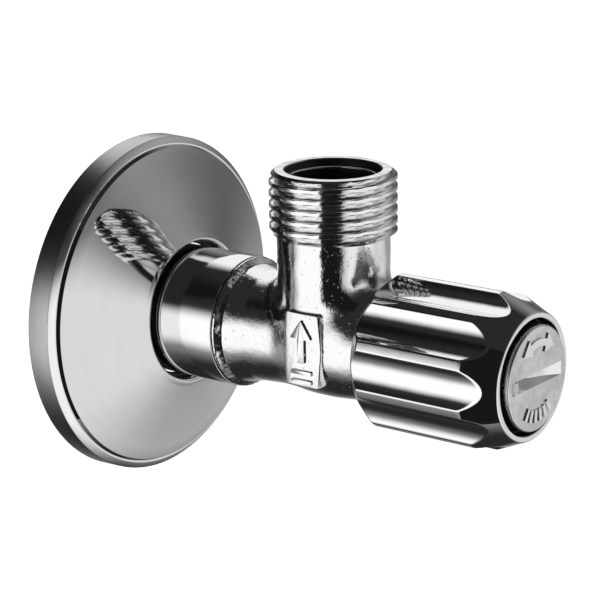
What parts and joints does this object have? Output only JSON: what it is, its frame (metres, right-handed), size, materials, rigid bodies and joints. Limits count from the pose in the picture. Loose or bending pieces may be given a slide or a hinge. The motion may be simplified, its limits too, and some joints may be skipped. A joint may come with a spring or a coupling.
{
  "type": "angle stop valve",
  "caption": "Chrome angle stop valve with a wall rosette, a threaded upward outlet and a fluted handle whose slotted front plug holds a filter basket.",
  "frame": {"origin": "on the inlet axis, in the plane of the finished wall that the rosette's rim rests on", "axes": "+X along the inlet from the wall to the handle, +Z along the outlet, +Y across the valve"},
  "size_m": [0.0944, 0.0584, 0.0584],
  "materials": {
    "cast_chrome": "bright chrome over a polished casting, slightly wavy",
    "chrome": "bright chrome",
    "satin_chrome": "soft spun chrome with a fine circular grain",
    "plug_satin": "matt chrome",
    "brass": "machined",
    "steel": "stainless steel",
    "rubber": "black moulded rubber",
    "fibre": "pressed sealing fibre",
    "nylon": "natural moulded plastic"
  },
  "bodies": {
    "body": {"valve_body": "cast_chrome", "inlet_seal_ring": "nylon", "headwork_bonnet": "brass", "bonnet_gasket": "fibre", "bonnet_inner_o_ring": "rubber", "bonnet_outer_o_ring": "rubber"},
    "wall_cover": {"rosette": "satin_chrome", "rosette_grip_ring": "rubber"},
    "sleeve": {"cover_sleeve": "chrome"},
    "washer_set": {"washer_carrier": "brass", "seat_washer": "rubber", "washer_screw": "steel", "carrier_clip": "steel"},
    "spindle_set": {"spindle": "brass", "separator_o_ring": "rubber", "spindle_stop_ring": "steel", "handle": "chrome", "handle_circlip": "steel"},
    "basket": {"filter_basket": "nylon", "filter_mesh": "steel", "basket_o_ring": "rubber"},
    "plug": {"filter_plug": "plug_satin", "plug_o_ring": "rubber"}
  },
  "joints": [
    {"name": "valve_lift", "type": "slide", "parent": "body", "child": "washer_set", "axis": [1, 0, 0], "range_m": [0, 0.00375]},
    {"name": "handle_turn", "type": "hinge", "parent": "washer_set", "child": "spindle_set", "pos_m": [0.06, 0, 0], "axis": [1, 0, 0], "range_deg": [0, 1080]},
    {"name": "filter_withdraw", "type": "slide", "parent": "spindle_set", "child": "basket", "axis": [1, 0, 0], "range_m": [0, 0.045]},
    {"name": "filter_plug_turn", "type": "hinge", "parent": "basket", "child": "plug", "pos_m": [0.078, 0, 0], "axis": [1, 0, 0], "range_deg": [0, 1800]},
    {"name": "rosette_slide", "type": "slide", "parent": "body", "child": "wall_cover", "axis": [1, 0, 0], "range_m": [0, 0.01]},
    {"name": "sleeve_slide", "type": "slide", "parent": "body", "child": "sleeve", "axis": [1, 0, 0], "range_m": [-0.006, 0]}
  ],
  "couplings": [
    {"joint": "handle_turn", "follows": "valve_lift", "rad_per_m": 5026.5}
  ]
}
